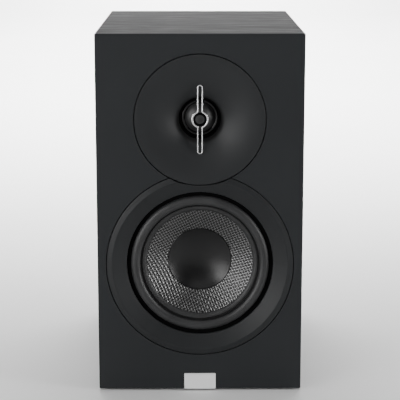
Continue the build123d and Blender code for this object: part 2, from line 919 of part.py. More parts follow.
# Tweeter terminal strip on the back of the front plate
tweeter_strip_z = tweeter_z - tweeter_strip_drop
tweeter_strip_end = tweeter_plate_end + tweeter_strip_thickness
tweeter_tab_end = tweeter_strip_end + tab_length
tweeter_strip = block(
    tweeter_strip_width, tweeter_strip_height, tweeter_plate_end, tweeter_strip_end, 0, tweeter_strip_z
)
for side in (-1, 1):
    x = side * tweeter_tab_spacing / 2
    tweeter_strip += block(tab_width, tab_thickness, tweeter_strip_end, tweeter_tab_end, x, tweeter_strip_z)
nodes["tweeter_terminals"] = tweeter_strip

# Port mouth and tube
port_mouth = rear_face + port_flange_thickness
tube_outer = port_radius + port_wall
socket_inner = tube_outer + port_socket_gap
neck_outer = socket_inner + port_neck_wall
tube_end = port_mouth - port_flare - port_tube_stop
neck_end = tube_end - port_neck_length
hole_fill = port_hole - port_hole_gap
flare_curve = RadiusArc(
    (port_radius, port_mouth - port_flare), (port_radius + port_flare, port_mouth), port_flare
)
port_outline = [
    flare_curve,
    Polyline(
        flare_curve @ 1,
        (port_flange_radius - port_flange_bevel, port_mouth),
        (port_flange_radius, port_mouth - port_flange_bevel),
        (port_flange_radius, rear_face),
        (hole_fill, rear_face),
        (hole_fill, rear_inside + port_hub_bevel),
        (neck_outer, rear_inside),
        (neck_outer, neck_end),
        (socket_inner, neck_end),
        (socket_inner, tube_end),
        (port_radius, tube_end),
        flare_curve @ 0,
    ),
]
nodes["port_flare"] = turned(port_outline, 0, port_z)
nodes["port_tube"] = tube(port_radius, tube_outer, tube_end - port_length, tube_end, 0, port_z)

# Terminal plate with its gasket and screws
plate_face = RectangleRounded(plate_width, plate_height, plate_corner)
plate = slab(plate_face, plate_inside, plate_outside, 0, terminal_z)
plate = chamfer(plate.faces().sort_by(Axis.Y)[-1].edges(), plate_edge)
plate_gasket_body = slab(plate_face - cutout, rear_face, plate_inside, 0, terminal_z)
plate_screw_bodies = []
for x, z in plate_screw_places:
    hole = drill(plate_screw_radius + hole_gap, rear_face, plate_outside, x, z)
    plate -= hole
    plate_gasket_body -= hole
    plate_screw_bodies.append(
        pan_screw(
            plate_screw_head,
            plate_screw_head_height,
            plate_screw_radius,
            plate_screw_length,
            plate_outside,
            -1,
            x,
            z,
        )
    )
post_places = {"red": -post_spacing / 2, "black": post_spacing / 2}
for x in post_places.values():
    plate -= drill(bush_shank + bush_hole_gap, plate_inside, plate_outside, x, terminal_z)
nodes["terminal_plate"] = plate
nodes["terminal_gasket"] = plate_gasket_body
nodes["terminal_screws"] = Part() + plate_screw_bodies

# Binding posts
studs = []
nuts = []
nut_face = RegularPolygon(nut_flats / 2, 6, major_radius=False)
for name, x in post_places.items():
    stud = rod(stud_radius, stud_inner_end, stud_end, x, terminal_z)
    stud -= rod(banana_radius, stud_end - banana_depth, stud_end + past, x, terminal_z)
    hole_depth = bush_end + wire_hole_offset
    stud -= upright(wire_hole, terminal_z - cap_radius, terminal_z + cap_radius, x, hole_depth)
    studs.append(stud)
    nut = slab(nut_face, plate_inside - nut_thickness, plate_inside, x, terminal_z)
    nut -= drill(stud_radius + thread_gap, plate_inside - nut_thickness, plate_inside, x, terminal_z)
    nuts.append(nut)
    nodes[name + "_bush"] = lathe(
        [
            (stud_radius + bush_bore_gap, plate_inside),
            (bush_shank, plate_inside),
            (bush_shank, plate_outside),
            (bush_radius, plate_outside),
            (bush_radius, bush_end - bush_bevel),
            (bush_radius - bush_bevel, bush_end),
            (stud_radius + bush_bore_gap, bush_end),
        ],
        x,
        terminal_z,
    )
    nodes[name + "_washer"] = tube(
        stud_radius + cap_bore_gap, washer_radius, washer_start, washer_end, x, terminal_z
    )
    cap = lathe(
        [
            (stud_radius + cap_bore_gap, cap_start),
            (cap_radius - cap_bevel, cap_start),
            (cap_radius, cap_start + cap_bevel),
            (cap_radius, cap_end - cap_bevel),
            (cap_radius - cap_bevel, cap_end),
            (stud_radius + cap_bore_gap, cap_end),
        ],
        x,
        terminal_z,
    )
    for flute_x, flute_z in around(cap_radius, even_angles(cap_flutes)):
        flute_start = cap_start + cap_flute_start
        cap -= rod(cap_flute_radius, flute_start, cap_end + past, x + flute_x, terminal_z + flute_z)
    nodes[name + "_cap"] = cap
nodes["post_studs"] = Part() + studs
nodes["post_nuts"] = Part() + nuts

# Crossover board on its standoffs
board_middle = (board_start + board_end) / 2
board_place = Pos(0, front_y + board_middle, (board_bottom + board_top) / 2)
board = board_place * Box(board_width, board_length, board_thickness)
standoffs = []
board_screws = []
for sx in (-1, 1):
    for depth in (board_start + standoff_inset, board_end - standoff_inset):
        x = sx * (board_width / 2 - standoff_inset)
        hole = upright(board_screw_radius + hole_gap, board_bottom - past, board_top + past, x, depth)
        board -= hole
        screw_end = board_top - board_screw_length
        post = upright(standoff_radius, inner_floor, board_bottom, x, depth)
        post -= upright(board_screw_radius + thread_gap, screw_end - hole_gap, board_bottom + past, x, depth)
        standoffs.append(post)
        head = upright(board_screw_head, board_top, board_top + board_screw_head_height, x, depth)
        board_screws.append(head + upright(board_screw_radius, screw_end, board_top, x, depth))
nodes["crossover_board"] = board
nodes["crossover_standoffs"] = Part() + standoffs
nodes["crossover_screws"] = Part() + board_screws

# Crossover components
inductors = []
for x, place, outer, inner, height in coil_sizes:
    depth = board_start + place
    coil = upright(outer, board_top, board_top + height, x, depth)
    inductors.append(coil - upright(inner, board_top - past, board_top + height + past, x, depth))
nodes["crossover_inductors"] = Part() + inductors
capacitors = []
for x, place, radius, length in capacitor_sizes:
    depth = board_start + place
    capacitor = Pos(x, front_y + depth, board_top + radius) * Rot(Y=90) * Cylinder(radius, length)
    capacitors.append(chamfer(capacitor.edges().filter_by(GeomType.CIRCLE), capacitor_bevel))
nodes["crossover_capacitors"] = Part() + capacitors
resistors = []
for x, place in resistor_places:
    start = board_start + place - resistor_side / 2
    resistors.append(
        block(resistor_length, resistor_side, start, start + resistor_side, x, board_top + resistor_side / 2)
    )
nodes["crossover_resistors"] = Part() + resistors

# Leads inside the cabinet
input_board_depth = board_end - input_board_inset
input_leads = []
for x in post_places.values():
    route = [
        (x, stud_inner_end, terminal_z),
        (x, input_board_depth, terminal_z),
        (x, input_board_depth, board_top),
    ]
    input_leads.append(lead(route, lead_bend))
nodes["input_leads"] = Part() + input_leads
lead_board_depth = board_start + lead_board_inset
tweeter_lead_drop_depth = (yoke_end + brace_start) / 2
tweeter_lead_height = board_top + tweeter_lead_rise
woofer_leads = []
tweeter_leads = []
for side in (-1, 1):
    x = side * woofer_tab_spacing / 2
    route = [
        (x, woofer_tab_end, woofer_tab_z),
        (x, lead_board_depth, woofer_tab_z),
        (x, lead_board_depth, board_top),
    ]
    woofer_leads.append(lead(route, lead_bend))
    x = side * tweeter_tab_spacing / 2
    route = [
        (x, tweeter_tab_end, tweeter_strip_z),
        (x, tweeter_lead_drop_depth, tweeter_strip_z),
        (x, tweeter_lead_drop_depth, tweeter_lead_height),
        (x, lead_board_depth, tweeter_lead_height),
        (x, lead_board_depth, board_top),
    ]
    tweeter_leads.append(lead(route, lead_bend))
nodes["woofer_leads"] = Part() + woofer_leads
nodes["tweeter_leads"] = Part() + tweeter_leads

for name, solid in nodes.items():
    export_step(solid, f"parts/{name}.step")
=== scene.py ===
import math

import bmesh
import bpy
from mathutils import Matrix, Vector


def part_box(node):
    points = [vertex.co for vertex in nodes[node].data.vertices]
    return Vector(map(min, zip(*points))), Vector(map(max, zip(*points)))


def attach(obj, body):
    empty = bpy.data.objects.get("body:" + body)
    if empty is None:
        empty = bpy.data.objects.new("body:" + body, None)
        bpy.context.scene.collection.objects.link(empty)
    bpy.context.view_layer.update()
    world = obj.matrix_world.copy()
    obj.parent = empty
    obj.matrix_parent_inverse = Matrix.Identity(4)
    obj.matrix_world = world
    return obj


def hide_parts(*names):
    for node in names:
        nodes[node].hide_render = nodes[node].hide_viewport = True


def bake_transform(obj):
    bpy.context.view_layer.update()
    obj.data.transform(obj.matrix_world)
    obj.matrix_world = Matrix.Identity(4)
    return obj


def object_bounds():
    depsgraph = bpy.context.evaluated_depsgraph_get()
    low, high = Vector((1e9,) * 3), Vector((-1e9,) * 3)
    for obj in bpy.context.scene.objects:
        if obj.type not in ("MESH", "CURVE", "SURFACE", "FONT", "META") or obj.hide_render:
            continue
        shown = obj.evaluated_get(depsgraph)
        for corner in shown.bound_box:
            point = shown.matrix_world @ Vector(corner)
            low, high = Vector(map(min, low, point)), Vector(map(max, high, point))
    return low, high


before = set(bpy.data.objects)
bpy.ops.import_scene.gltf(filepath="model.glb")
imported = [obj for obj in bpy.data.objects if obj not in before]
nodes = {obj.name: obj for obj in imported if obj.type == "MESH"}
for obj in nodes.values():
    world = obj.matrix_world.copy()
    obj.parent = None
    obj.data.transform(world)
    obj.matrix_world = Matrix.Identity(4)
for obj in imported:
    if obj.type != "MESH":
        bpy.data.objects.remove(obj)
cad_box = [list(corner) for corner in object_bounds()]

# Lengths are in metres. A depth counts backwards from the front face of the baffle.
mm = 0.001

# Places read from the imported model
baffle_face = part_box("front_baffle")[0].y
cone_low, cone_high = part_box("woofer_cone")
woofer_z = (cone_low.z + cone_high.z) / 2
cone_edge = (cone_high.z - cone_low.z) / 2
cone_edge_depth = cone_low.y - baffle_face
dome_low, dome_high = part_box("tweeter_dome")
tweeter_z = (dome_low.z + dome_high.z) / 2
surround_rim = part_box("woofer_surround")[1].z - woofer_z
surround_crest_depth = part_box("woofer_surround")[0].y - baffle_face
cap_low, cap_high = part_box("woofer_dust_cap")
dust_cap_edge = cap_high.z - woofer_z
dust_cap_rim_depth = cap_low.y - baffle_face
tweeter_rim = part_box("tweeter_surround")[1].z - tweeter_z
tweeter_crest_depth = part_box("tweeter_surround")[0].y - baffle_face
loop_low, loop_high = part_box("tweeter_phase_loop")
plate_low, plate_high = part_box("terminal_plate")

# Woofer surround and cone
cone_slope = math.tan(math.radians(28.0))
rubber_thickness = 0.8 * mm
surround_rim_depth = 7.2 * mm
surround_outer = 60.6 * mm
surround_inner = 52.7 * mm
surround_leg = 2.2 * mm
surround_foot_depth = 8.2 * mm
flap_outer = 51.0 * mm
flap_inner = 46.8 * mm
flap_thickness = 1.1 * mm
flap_round = 0.4 * mm
crest_flat = 0.03 * mm
glue_thickness = 0.15 * mm
glue_lift = 0.05 * mm
dust_cap_sag = 8.0 * mm
dust_cap_thickness = 0.8 * mm
dust_cap_lip = 0.3 * mm
# Foam ring in the gap beside the surround: partly a gasket, partly painted shade
foam_thickness = 0.5 * mm
foam_gap = 0.05 * mm
foam_inset = 0.3 * mm
spider_rim = 41.45 * mm
spider_rim_depth = 40.8 * mm
spider_shelf_edge = 34.5 * mm
spider_collar = 18.0 * mm
spider_bore = 13.05 * mm
spider_steps = 4
spider_rise = 0.5 * mm
spider_cloth = 0.15 * mm
weave_pitch = 2.63 * mm
weave_gather = 6.5 * mm
weave_angle = math.radians(25.0)
weave_relief = 0.3 * mm
weave_lift = 0.04 * mm
weave_tuck = 0.8 * mm
weave_steps = 6
thread_half_width = 0.225
thread_dip = 0.3
thread_steps = (0.0, 0.12, 0.225, 0.5)

# Tweeter surround and loop
tweeter_rubber = 0.5 * mm
tweeter_roll_outer = 16.6 * mm
tweeter_roll_inner = 13.0 * mm
tweeter_rim_depth = 17.9 * mm
tweeter_tail = 0.3 * mm
throat_radius = 18.5 * mm
throat_depth = 12.0 * mm
# Radii over which the waveguide's colour goes from black to its own, a painted shade round the
# throat, and how far below the tweeter's axis that shade is centred
throat_painted_shade = (18.6 * mm, 22.6 * mm)
painted_shade_drop = 1.0 * mm
# Sleeve of painted shade in the throat
shade_sleeve_gap = 0.05 * mm
shade_sleeve_wall = 0.4 * mm
shade_sleeve_inset = 0.3 * mm
loop_bar_offset = 1.975 * mm
loop_bar_half = 0.475 * mm
loop_ring_radius = 6.675 * mm
loop_ring_half = 0.725 * mm
loop_fillet = 1.2 * mm
loop_depth = 1.5 * mm
loop_edge = 0.38 * mm
loop_peg_radius = 0.45 * mm
# Funnel of painted shade inside the loop's ring
funnel_hole = 3.9 * mm
funnel_sink = 0.3 * mm
funnel_gap = 0.02 * mm

# Room. The floor ends where it is as bright as the wall. Walls and ceiling fade with the sine of
# the height above the horizon, and front_fade runs from the front of the room to its back.
floor_reach = (5.8, 7.6)
floor_cells = 4
wall_fade = (math.sin(math.radians(15.0)), math.sin(math.radians(45.0)))
front_fade = (-0.8, 0.2)
ceiling_fade = (math.sin(math.radians(55.0)), math.sin(math.radians(68.0)))
front_glow = 0.12
back_glow = 1.0
ceiling_glow = 1.0

# Lamps over the floor: name, place, width, power in watts and spread of the beam in degrees
floor_lamps = (
    ("overhead", (0, 1.3, 2.0), 1.4, 45.0, 75.0),
    ("back_wash_0", (0, 3.0, 2.2), 2.2, 150.0, 90.0),
    ("back_wash_1", (0, 5.5, 2.2), 2.2, 150.0, 90.0),
    ("floor_wash_0", (-4.2, 0, 2.2), 2.2, 40.0, 100.0),
    ("floor_wash_1", (-3.2, -3.2, 2.2), 2.2, 40.0, 100.0),
    ("floor_wash_2", (0, -4.4, 2.2), 2.2, 40.0, 100.0),
    ("floor_wash_3", (3.2, -3.2, 2.2), 2.2, 40.0, 100.0),
    ("floor_wash_4", (4.2, 0, 2.2), 2.2, 40.0, 100.0),
)

# Lamps that light the front: name, turn to the right and rise in degrees, distance, size and power
front_lamps = (
    ("top_front", 0.0, 38.0, 2.0, (1.4, 0.55), 1.4),
    ("key_high", -47.0, 17.0, 3.6, (2.0, 0.9), 24.5),
    ("key_low", -47.0, 4.2, 3.6, (2.0, 0.8), 6.5),
    ("key_floor", -35.0, -0.7, 2.6, (1.4, 0.25), 3.0),
    ("fill_right", 68.0, 12.0, 3.5, (1.1, 1.75), 30.0),
)
front_spread = 120.0

# Polarity marks on the terminal plate
mark_length = 6.0 * mm
mark_width = 1.3 * mm
mark_height = 0.4 * mm
mark_offset = 15.0 * mm
mark_spread = 9.5 * mm
mark_edge = 0.15 * mm

# Fineness of the shapes: steps round a turn, points along an arc, steps of a rounded edge, and the
# gap within which points are welded
woofer_turn = 240
dish_turn = 160
spider_turn = 120
tweeter_turn = 120
funnel_turn = 60
peg_sides = 20
roll_points = 32
dish_points = 48
ring_points = 16
bend_points = 8
end_points = 10
loop_edge_steps = 3
mark_edge_steps = 2
weld_gap = 0.0005 * mm

# Angles in degrees. An edge that turns by more than a crease is shaded crisp, and the loop's edges
# that turn by more than rim_turn are rounded.
tight_crease = 30.0
firm_crease = 40.0
middle_crease = 50.0
loose_crease = 60.0
rim_turn = 60.0

# Camera: its place in metres, its angles in degrees, and its lens and sensor in millimetres
camera_place = (-0.0058, -1.3167, 0.425)
camera_pitch = 12.022
camera_turn = 0.284
camera_lens = 124.3
camera_sensor = 36.0


def deep(depth):
    return baffle_face + depth


class Wire:
    """A socket in a node tree. Sums on wires add Math nodes, and node adds any other node."""

    def __init__(self, tree, socket=None):
        self.tree = tree
        self.socket = socket

    def node(self, kind, settings, inputs, out=0):
        made = self.tree.nodes.new("ShaderNode" + kind)
        for name, value in settings.items():
            setattr(made, name, value)
        for name, value in inputs.items():
            if isinstance(value, Wire):
                self.tree.links.new(value.socket, made.inputs[name])
            else:
                made.inputs[name].default_value = value
        return Wire(self.tree, made.outputs[out])

    def math(self, operation, first, second):
        return self.node("Math", {"operation": operation}, {0: first, 1: second})

    def __add__(self, other):
        return self.math("ADD", self, other)

    def __sub__(self, other):
        return self.math("SUBTRACT", self, other)

    def __rsub__(self, other):
        return self.math("SUBTRACT", other, self)

    def __mul__(self, other):
        return self.math("MULTIPLY", self, other)

    __radd__ = __add__
    __rmul__ = __mul__

    def noise(self, scale, detail, roughness=0.5, stretch=(1.0, 1.0, 1.0)):
        place = self.node("Mapping", {}, {"Vector": self, "Scale": stretch})
        pattern = {"Vector": place, "Scale": scale, "Detail": detail, "Roughness": roughness}
        return self.node("TexNoise", {}, pattern)

    def step(self, low, high):
        limits = {"Value": self, "From Min": low, "From Max": high}
        return self.node("MapRange", {"interpolation_type": "SMOOTHSTEP"}, limits)

    def between(self, low, high):
        return self * (high - low) + low

    def tint(self, dark, light):
        colours = {0: self, 6: (*dark, 1.0), 7: (*light, 1.0)}
        return self.node("Mix", {"data_type": "RGBA"}, colours, out=2)


class Finish:
    """A material under way: its Principled shader, and the place that its patterns start from."""

    def __init__(self, name, constants):
        self.material = bpy.data.materials.new(name)
        self.material.use_nodes = True
        tree = self.material.node_tree
        self.shader = tree.nodes["Principled BSDF"]
        self.place = Wire(tree).node("TexCoord", {}, {}, out="Object")
        for socket, value in constants.items():
            self.shader.inputs[socket].default_value = value

    def feed(self, socket, wire):
        wire.tree.links.new(wire.socket, self.shader.inputs[socket])

    def colour(self, mask, dark, light):
        self.feed("Base Color", mask.tint(dark, light))

    def roughness(self, mask, low, high):
        self.feed("Roughness", mask.between(low, high))

    def bump(self, height, depth, strength):
        relief = {"Height": height, "Distance": depth, "Strength": strength}
        self.feed("Normal", height.node("Bump", {}, relief))


# Finishes
def ash_vinyl(name, along, specular):
    """Black foil with an ash grain, printed and pressed along one direction."""
    finish = Finish(name, {"Specular IOR Level": specular})
    across = tuple(0.04 if axis == along else 1.0 for axis in range(3))
    drawn = tuple(0.35 if axis == along else 1.0 for axis in range(3))
    figure = finish.place.noise(75.0, 4.0, 0.6, drawn)
    streak = finish.place.noise(170.0, 4.0, 0.55, across)
    pore = finish.place.noise(900.0, 2.0, 0.6, across)
    grain = streak.step(0.34, 0.66) * 0.55 + figure.step(0.3, 0.7) * 0.45
    pores = pore.step(0.5, 0.64)
    finish.colour(grain * (1.0 - pores * 0.6), (0.007, 0.007, 0.0074), (0.04, 0.04, 0.042))
    finish.roughness(grain + pores * 0.3, 0.36, 0.66)
    finish.bump(grain * 0.4 - pores, 0.1 * mm, 0.6)
    return finish.material


def matt_paint(name):
    """Matt black lacquer with a fine orange-peel texture."""
    finish = Finish(name, {"Specular IOR Level": 0.27})
    speckle = finish.place.noise(2600.0, 2.0)
    cloud = finish.place.noise(14.0, 3.0)
    finish.colour(cloud, (0.0105, 0.0118, 0.013), (0.015, 0.0166, 0.0184))
    finish.roughness(cloud * 0.5 + speckle * 0.5, 0.5, 0.66)
    finish.bump(speckle, 0.02 * mm, 0.35)
    return finish.material


def moulded(name, dark, light, rough, specular=0.4):
    """Moulded plastic with a spark-eroded grain."""
    finish = Finish(name, {"Specular IOR Level": specular})
    speckle = finish.place.noise(1800.0, 3.0, 0.6)
    cloud = finish.place.noise(22.0, 3.0)
    finish.colour(cloud * 0.7 + speckle * 0.3, dark, light)
    finish.roughness(cloud * 0.6 + speckle * 0.4, rough - 0.06, rough + 0.06)
    finish.bump(speckle, 0.02 * mm, 0.4)
    return finish.material


def waveguide_plastic_painted_shade(name, rough):
    """Satin plastic that turns matt towards the throat, where its colour is also painted black as
    shade.
    """
    finish = Finish(name, {"Specular IOR Level": 0.31})
    speckle = finish.place.noise(1800.0, 3.0, 0.6)
    cloud = finish.place.noise(22.0, 3.0)
    middle = (0.0, 0.0, tweeter_z - painted_shade_drop)
    aside = finish.place.node("VectorMath", {"operation": "SUBTRACT"}, {0: finish.place, 1: middle})
    square = aside.node("VectorMath", {"operation": "MULTIPLY"}, {0: aside, 1: (1.0, 0.0, 1.0)})
    radius = square.node("VectorMath", {"operation": "LENGTH"}, {0: square}, out="Value")
    # Painted shade: the colour turns black and the finish matt inside the throat's radius, centred
    # a little below the axis.
    outside_painted_shade = radius.step(*throat_painted_shade)
    shade = (cloud * 0.28 + speckle * 0.12 + 0.6) * outside_painted_shade
    finish.colour(shade, (0.0008, 0.0008, 0.0009), satin_black[1])
    finish.roughness(outside_painted_shade + speckle * 0.1 - 0.05, 0.95, rough)
    finish.bump(speckle, 0.02 * mm, 0.4)
    return finish.material


def rubber(name, light, rough, specular=0.4):
    """Soft rubber with a trace of bloom."""
    finish = Finish(name, {"Specular IOR Level": specular})
    bloom = finish.place.noise(60.0, 4.0, 0.6)
    speckle = finish.place.noise(2400.0, 2.0)
    dark = tuple(part * 0.6 for part in light)
    finish.colour(bloom.step(0.3, 0.75), dark, light)
    finish.roughness(bloom, rough - 0.07, rough + 0.07)
    finish.bump(speckle, 0.015 * mm, 0.3)
    return finish.material


def brushed(name, dark, light, rough, along):
    """Metal brushed along one direction."""
    finish = Finish(name, {"Metallic": 1.0})
    across = tuple(0.02 if axis == along else 1.0 for axis in range(3))
    scratch = finish.place.noise(2600.0, 3.0, 0.7, across)
    cloud = finish.place.noise(40.0, 2.0)
    finish.colour(scratch * 0.6 + cloud * 0.4, dark, light)
    finish.roughness(scratch, rough - 0.08, rough + 0.08)
    finish.bump(scratch, 0.01 * mm, 0.3)
    return finish.material


def cast_metal(name, dark, light, rough):
    """Plated or cast metal, dulled in patches."""
    finish = Finish(name, {"Metallic": 1.0})
    cloud = finish.place.noise(90.0, 4.0, 0.6)
    pit = finish.place.noise(700.0, 3.0)
    finish.colour(cloud, dark, light)
    finish.roughness(cloud * 0.7 + pit * 0.3, rough - 0.08, rough + 0.1)
    finish.bump(pit, 0.02 * mm, 0.3)
    return finish.material


def threaded_gold(name):
    """Gold-plated brass with a fine thread round the Y axis."""
    finish = Finish(name, {"Metallic": 1.0})
    bands = {"bands_direction": "Y", "wave_profile": "SIN"}
    thread = finish.place.node("TexWave", bands, {"Vector": finish.place, "Scale": 314.0}, out=1)
    cloud = finish.place.noise(160.0, 3.0)
    finish.colour(cloud, (0.62, 0.42, 0.14), (0.86, 0.64, 0.27))
    finish.roughness(cloud, 0.18, 0.32)
    finish.bump(thread, 0.1 * mm, 0.5)
    return finish.material


def wound(name, dark, light):
    """Enamelled wire wound in close turns round the Y axis."""
    finish = Finish(name, {"Metallic": 1.0})
    bands = {"bands_direction": "Y", "wave_profile": "SIN"}
    winding = {"Vector": finish.place, "Scale": 520.0, "Distortion": 0.4}
    turn = finish.place.node("TexWave", bands, winding, out=1)
    cloud = finish.place.noise(120.0, 3.0)
    finish.colour(turn * 0.7 + cloud * 0.3, dark, light)
    finish.roughness(cloud, 0.25, 0.42)
    finish.bump(turn, 0.12 * mm, 0.6)
    return finish.material


def pressed_board(name, dark, light, rough, grain=500.0):
    """Fibre board, card or ceramic, with a speckle of fibres or grains."""
    finish = Finish(name, {"Specular IOR Level": 0.3})
    fibre = finish.place.noise(grain, 5.0, 0.65)
    cloud = finish.place.noise(30.0, 3.0)
    finish.colour(fibre * 0.6 + cloud * 0.4, dark, light)
    finish.roughness(fibre, rough - 0.08, rough + 0.08)
    finish.bump(fibre, 0.06 * mm, 0.5)
    return finish.material


def woven_cloth(name, dark, light, rough):
    """Impregnated cloth in a plain weave across X and Z."""
    finish = Finish(name, {"Specular IOR Level": 0.25})
    warp = {"bands_direction": "X", "wave_profile": "SIN"}
    weft = {"bands_direction": "Z", "wave_profile": "SIN"}
    threads = {"Vector": finish.place, "Scale": 300.0}
    first = finish.place.node("TexWave", warp, threads, out=1)
    second = finish.place.node("TexWave", weft, threads, out=1)
    weave = first * second
    cloud = finish.place.noise(50.0, 3.0)
    finish.colour(weave * 0.6 + cloud * 0.4, dark, light)
    finish.roughness(cloud, rough - 0.06, rough + 0.06)
    finish.bump(weave, 0.05 * mm, 0.5)
    return finish.material


def glass_weave(name):
    """Glossy grey threads over a black backing, told apart by the cloth's own thread attribute,
    whose height also paints shade where a thread dips under its neighbour.
    """
    finish = Finish(name, {"Specular IOR Level": 0.0, "Coat Roughness": 0.31, "Coat IOR": 2.4})
    thread = finish.place.node("Attribute", {"attribute_name": "thread"}, {}, out="Fac")
    strand = finish.place.noise(1500.0, 3.0)
    cloud = finish.place.noise(70.0, 2.0)
    # Lower parts of a thread are painted darker: painted shade at the crossings and flanks, black
    # backing between
    shown = thread.step(0.3, 0.7) * (strand * 0.3 + cloud * 0.2 + 0.72)
    finish.colour(shown, (0.003, 0.003, 0.003), (0.03, 0.03, 0.0297))
    finish.roughness(thread, 0.9, 0.5)
    finish.feed("Coat Weight", shown * 0.75 + 0.2)
    return finish.material


def dome_cloth(name):
    """Coated silk, black and slightly shiny."""
    finish = Finish(name, {"Specular IOR Level": 0.9})
    weave = finish.place.noise(3200.0, 2.0)
    cloud = finish.place.noise(140.0, 3.0)
    finish.colour(cloud, (0.002, 0.002, 0.0022), (0.006, 0.006, 0.0064))
    finish.roughness(cloud * 0.6 + weave * 0.4, 0.44, 0.58)
    finish.bump(weave, 0.02 * mm, 0.4)
    return finish.material


def painted_shade_foam(name):
    """Near-black open-cell foam that paints shade where it is laid: in the surround's gap, the
    throat and the loop's ring.
    """
    finish = Finish(name, {"Specular IOR Level": 0.0})
    cell = finish.place.noise(1500.0, 4.0, 0.7)
    finish.colour(cell, (0.0015, 0.0015, 0.0016), (0.006, 0.006, 0.0062))
    finish.roughness(cell, 0.85, 1.0)
    finish.bump(cell, 0.2 * mm, 0.8)
    return finish.material


def studio_floor(name):
    finish = Finish(name, {"Specular IOR Level": 0.1})
    cloud = finish.place.noise(3.0, 2.0)
    finish.colour(cloud, (0.88, 0.88, 0.88), (0.92, 0.92, 0.92))
    finish.roughness(cloud, 0.85, 0.95)
    return finish.material


X, Z = 0, 2
satin_black = ((0.009, 0.0098, 0.0106), (0.015, 0.0163, 0.0176))
finishes = {
    "black_ash": ash_vinyl("ash_vinyl_top", X, 0.58),
    "baffle_black": matt_paint("baffle_paint"),
    "brace_board": pressed_board("brace_board", (0.2, 0.13, 0.075), (0.36, 0.26, 0.16), 0.8),
    "wadding_white": pressed_board(
        "wadding_fleece", (0.6, 0.6, 0.58), (0.85, 0.85, 0.83), 0.9, 260.0
    ),
    "rubber_black": rubber("foot_rubber", (0.03, 0.03, 0.031), 0.75),
    "surround_rubber": rubber("surround_rubber", (0.022, 0.0225, 0.0235), 0.46, specular=0.46),
    "badge_silver": brushed("badge_silver", (0.86, 0.86, 0.86), (0.97, 0.97, 0.97), 0.7, X),
    "trim_black": moulded("trim_plastic", *satin_black, 0.48, specular=0.28),
    "waveguide_black": waveguide_plastic_painted_shade("waveguide_plastic_painted_shade", 0.48),
    "basket_black": cast_metal("basket_enamel", (0.02, 0.02, 0.021), (0.05, 0.05, 0.052), 0.5),
    "cone_weave": pressed_board(
        "cone_backing", (0.003, 0.003, 0.0032), (0.008, 0.008, 0.0085), 0.5
    ),
    "dust_cap_black": moulded(
        "dust_cap_plastic", (0.003, 0.003, 0.0033), (0.005, 0.005, 0.0054), 0.34, specular=0.37
    ),
    "former_aluminium": brushed("former_aluminium", (0.6, 0.6, 0.61), (0.8, 0.8, 0.81), 0.35, X),
    "coil_copper": wound("coil_copper", (0.4, 0.15, 0.06), (0.78, 0.36, 0.18)),
    "spider_cloth": woven_cloth("spider_cloth", (0.35, 0.26, 0.12), (0.62, 0.48, 0.24), 0.75),
    "motor_steel": cast_metal("motor_steel", (0.3, 0.3, 0.31), (0.52, 0.52, 0.53), 0.35),
    "magnet_ferrite": pressed_board(
        "magnet_ferrite", (0.015, 0.015, 0.016), (0.035, 0.034, 0.034), 0.6, 300.0
    ),
    "screw_black": cast_metal("screw_black", (0.02, 0.02, 0.021), (0.06, 0.06, 0.062), 0.42),
    "rivet_steel": cast_metal("rivet_steel", (0.45, 0.45, 0.46), (0.62, 0.62, 0.63), 0.3),
    "strip_brown": pressed_board("strip_laminate", (0.12, 0.06, 0.03), (0.22, 0.12, 0.06), 0.55),
    "loop_silver": brushed("loop_silver", (0.72, 0.72, 0.73), (0.9, 0.9, 0.9), 0.26, Z),
    "dome_black": dome_cloth("dome_silk"),
    "spacer_black": moulded("spacer_plastic", (0.01, 0.01, 0.01), (0.02, 0.02, 0.02), 0.5),
    "port_black": moulded("port_plastic", (0.008, 0.008, 0.0085), (0.015, 0.015, 0.016), 0.5),
    "terminal_black": moulded("terminal_plastic", (0.01, 0.01, 0.0105), (0.018, 0.018, 0.019), 0.5),
    "post_red": moulded("post_red", (0.3, 0.008, 0.008), (0.5, 0.016, 0.014), 0.34),
    "post_black": moulded("post_black", (0.012, 0.012, 0.012), (0.022, 0.022, 0.022), 0.34),
    "post_gold": threaded_gold("post_gold"),
    "board_green": pressed_board("board_green", (0.01, 0.07, 0.03), (0.02, 0.13, 0.05), 0.4, 900.0),
    "standoff_white": moulded("standoff_nylon", (0.6, 0.6, 0.56), (0.78, 0.78, 0.74), 0.5),
    "capacitor_yellow": moulded("capacitor_film", (0.5, 0.3, 0.03), (0.72, 0.46, 0.06), 0.35),
    "resistor_white": pressed_board(
        "resistor_ceramic", (0.6, 0.59, 0.56), (0.8, 0.79, 0.76), 0.6, 900.0
    ),
    "lead_grey": rubber("lead_sleeve", (0.12, 0.12, 0.12), 0.5),
}
side_vinyl = ash_vinyl("ash_vinyl_side", Z, 0.25)
weave_finish = glass_weave("cone_glass_weave")
# Near-black foam that paints shade wherever it is laid
shade_foam_finish = painted_shade_foam("shade_foam")
# Near-black glue, which also paints the shade in the groove between roll and flap
glue_and_shade_finish = moulded(
    "glue_and_groove_shade_black", (0.004, 0.004, 0.0041), (0.008, 0.008, 0.0082), 0.6, specular=0.15
)
flap_finish = rubber("flap_rubber", (0.023, 0.0233, 0.024), 0.5, specular=0.42)
# Near-black, far darker than the woofer's rubber: the edge's own black with the throat's shade
# painted in
dome_edge_shade_finish = moulded(
    "dome_edge_rubber_and_shade", (0.0015, 0.0015, 0.0015), (0.004, 0.004, 0.0042), 0.2, specular=0.35
)

for thing in nodes.values():
    for place in thing.material_slots:
        slot = place.material.name.split(".")[0]
        place.material = finishes[slot]
for name in ("left_panel", "right_panel", "rear_panel"):
    nodes[name].material_slots[0].material = side_vinyl


